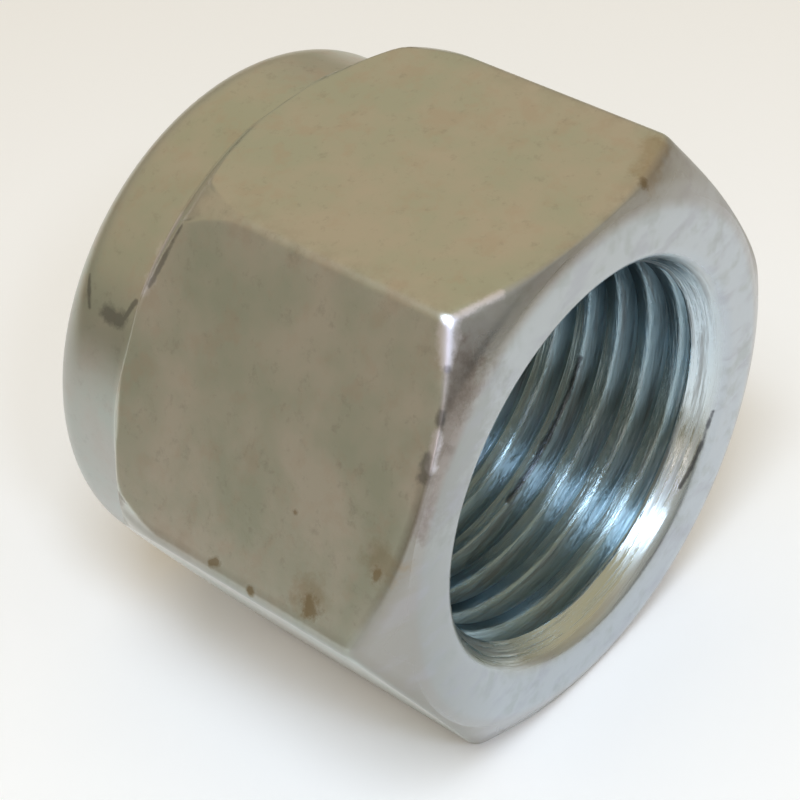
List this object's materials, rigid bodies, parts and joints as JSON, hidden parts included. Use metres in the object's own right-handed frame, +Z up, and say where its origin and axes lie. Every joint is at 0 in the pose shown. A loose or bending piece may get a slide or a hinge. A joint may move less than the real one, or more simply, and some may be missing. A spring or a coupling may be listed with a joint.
{
  "type": "nylon insert lock nut",
  "caption": "Hexagonal steel lock nut with a threaded through bore and a nylon ring crimped into a round collar at one end.",
  "frame": {"origin": "on the ground under the middle of the nut's box, with the nut lying on one of its hexagon's flats", "axes": "+Y along the thread axis from the bearing face towards the collar, +Z up, +X towards one corner of the hexagon"},
  "size_m": [0.0236, 0.0174, 0.0206],
  "materials": {
    "steel": "zinc plated and passivated, satin, with scuffs and small rust specks",
    "nylon": "natural white nylon, slightly waxy"
  },
  "bodies": {
    "root": {"nut_body": "steel", "nylon_insert": "nylon"}
  },
  "joints": []
}
